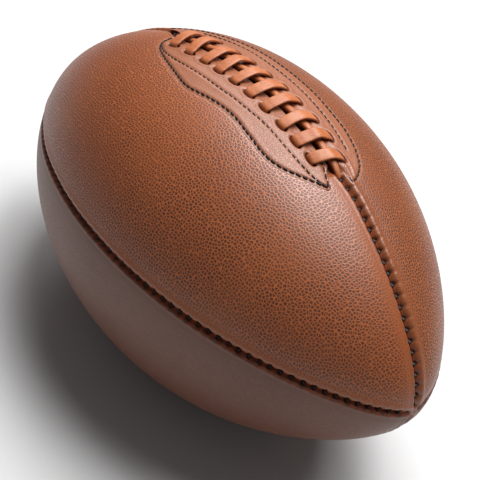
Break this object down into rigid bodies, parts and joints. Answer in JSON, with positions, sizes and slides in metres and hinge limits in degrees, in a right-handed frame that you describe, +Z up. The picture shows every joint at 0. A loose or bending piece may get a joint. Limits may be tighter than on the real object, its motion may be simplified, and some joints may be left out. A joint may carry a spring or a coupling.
{
  "type": "rugby ball",
  "caption": "Laced leather rugby ball of four stitched panels, pointed at both ends, with a raised lacing along the upper seam.",
  "frame": {"origin": "centre of the footprint, on the surface the ball rests on, under its middle", "axes": "+X along the long axis toward one tip, +Z up through the lacing, +Y to the left side panel when looking along +X"},
  "size_m": [0.286, 0.1696, 0.1757],
  "materials": {
    "leather": "satin",
    "facing_leather": "satin",
    "lace_leather": "satin",
    "canvas": "matte",
    "thread": "matte",
    "twine": "matte",
    "latex": "matte"
  },
  "bodies": {
    "root": {"panel_top_right": "leather", "panel_top_left": "leather", "panel_bottom_right": "leather", "panel_bottom_left": "leather", "lining_top_right": "canvas", "lining_top_left": "canvas", "lining_bottom_right": "canvas", "lining_bottom_left": "canvas", "seam_thread_top_front": "thread", "seam_thread_top_rear": "thread", "seam_thread_right": "thread", "seam_thread_left": "thread", "seam_thread_bottom": "thread", "lace_facing_right": "facing_leather", "lace_facing_left": "facing_leather", "facing_thread_right": "thread", "facing_thread_left": "thread", "slit_reinforcement_right": "canvas", "slit_reinforcement_left": "canvas", "cross_lace": "lace_leather", "spine_lace": "lace_leather", "tongue": "facing_leather", "bladder": "latex", "bladder_neck": "latex", "neck_tie": "twine"}
  },
  "joints": []
}
